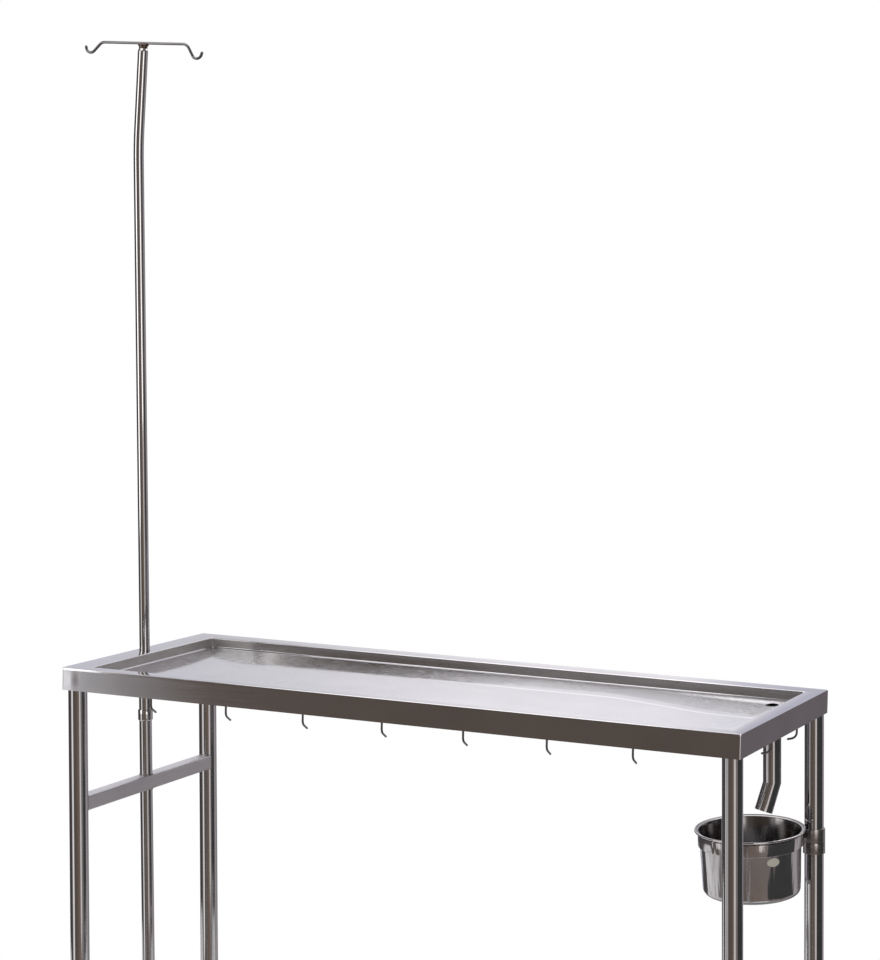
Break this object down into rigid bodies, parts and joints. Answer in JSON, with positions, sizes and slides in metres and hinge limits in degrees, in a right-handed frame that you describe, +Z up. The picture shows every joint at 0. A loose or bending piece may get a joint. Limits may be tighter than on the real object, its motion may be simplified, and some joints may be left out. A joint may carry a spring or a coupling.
{
  "type": "veterinary exam table",
  "caption": "Stainless steel veterinary exam table with a pitched drain tray, a drip pole with a hook bar, tie hooks under the rim and a drain bucket on a swinging ring.",
  "frame": {"origin": "on the ground under the middle of the whole footprint, hook bar included", "axes": "+X along the table towards the drain end, +Y towards the back, +Z up"},
  "size_m": [1.2748, 0.4794, 1.9316],
  "materials": {
    "satin_steel": "satin brushed sheet and square tube",
    "polished_steel": "polished tube, wire and pressed pail",
    "dark_steel": "dark, half matt",
    "grey_nylon": "matt moulded",
    "black_rubber": "matt"
  },
  "bodies": {
    "frame": {"crossbar_left_lower": "satin_steel", "crossbar_left_upper": "satin_steel", "crossbar_right_lower": "satin_steel", "drain_pipe": "polished_steel", "foot_insert_front_left": "grey_nylon", "foot_insert_front_right": "grey_nylon", "foot_insert_rear_left": "grey_nylon", "foot_insert_rear_right": "grey_nylon", "leg_front_left": "polished_steel", "leg_front_right": "polished_steel", "leg_rear_left": "polished_steel", "leg_rear_right": "polished_steel", "pole_tube": "polished_steel", "pole_tube_collar": "polished_steel", "stiffener_left": "satin_steel", "stiffener_right": "satin_steel", "stop_collar": "polished_steel", "stretcher_lower": "satin_steel", "tie_hook_front_1": "polished_steel", "tie_hook_front_2": "polished_steel", "tie_hook_front_3": "polished_steel", "tie_hook_front_4": "polished_steel", "tie_hook_front_5": "polished_steel", "tie_hook_front_6": "polished_steel", "tie_hook_front_7": "polished_steel", "tie_hook_left_1": "polished_steel", "tie_hook_left_2": "polished_steel", "tie_hook_rear_1": "polished_steel", "tie_hook_rear_2": "polished_steel", "tie_hook_rear_3": "polished_steel", "tie_hook_rear_4": "polished_steel", "tie_hook_rear_5": "polished_steel", "tie_hook_rear_6": "polished_steel", "tie_hook_rear_7": "polished_steel", "tie_hook_right_1": "polished_steel", "tie_hook_right_2": "polished_steel", "tray_top": "satin_steel"},
    "pole_slider": {"pole_glide": "grey_nylon"},
    "pole": {"drip_pole": "polished_steel", "pole_plug": "polished_steel", "hook_bar": "polished_steel"},
    "bucket_hanger": {"swivel_collar": "polished_steel", "bucket_arm": "dark_steel", "bucket_ring": "satin_steel"},
    "drain_bucket": {"bucket": "polished_steel"},
    "levelling_foot_front_left": {"foot_front_left": "black_rubber"},
    "levelling_foot_front_right": {"foot_front_right": "black_rubber"},
    "levelling_foot_rear_left": {"foot_rear_left": "black_rubber"},
    "levelling_foot_rear_right": {"foot_rear_right": "black_rubber"}
  },
  "joints": [
    {"name": "pole_height", "type": "slide", "parent": "frame", "child": "pole_slider", "axis": [-0.0052, 0, 1], "range_m": [-0.45, 0.12]},
    {"name": "pole_turn", "type": "hinge", "parent": "pole_slider", "child": "pole", "pos_m": [-0.52547, 0, 0.86698], "axis": [-0.0052, 0, 1], "continuous": true},
    {"name": "bucket_swing", "type": "hinge", "parent": "frame", "child": "bucket_hanger", "pos_m": [0.61736, 0.2197, 0.594], "axis": [0, 0, 1], "continuous": true},
    {"name": "bucket_lift", "type": "slide", "parent": "bucket_hanger", "child": "drain_bucket", "axis": [-0.0109, -0.0661, 0.9978], "range_m": [0, 0.1]},
    {"name": "foot_screw_front_left", "type": "slide", "parent": "frame", "child": "levelling_foot_front_left", "axis": [0, 0, -1], "range_m": [0, 0.02]},
    {"name": "foot_screw_front_right", "type": "slide", "parent": "frame", "child": "levelling_foot_front_right", "axis": [0, 0, -1], "range_m": [0, 0.02]},
    {"name": "foot_screw_rear_left", "type": "slide", "parent": "frame", "child": "levelling_foot_rear_left", "axis": [0, 0, -1], "range_m": [0, 0.02]},
    {"name": "foot_screw_rear_right", "type": "slide", "parent": "frame", "child": "levelling_foot_rear_right", "axis": [0, 0, -1], "range_m": [0, 0.02]}
  ]
}
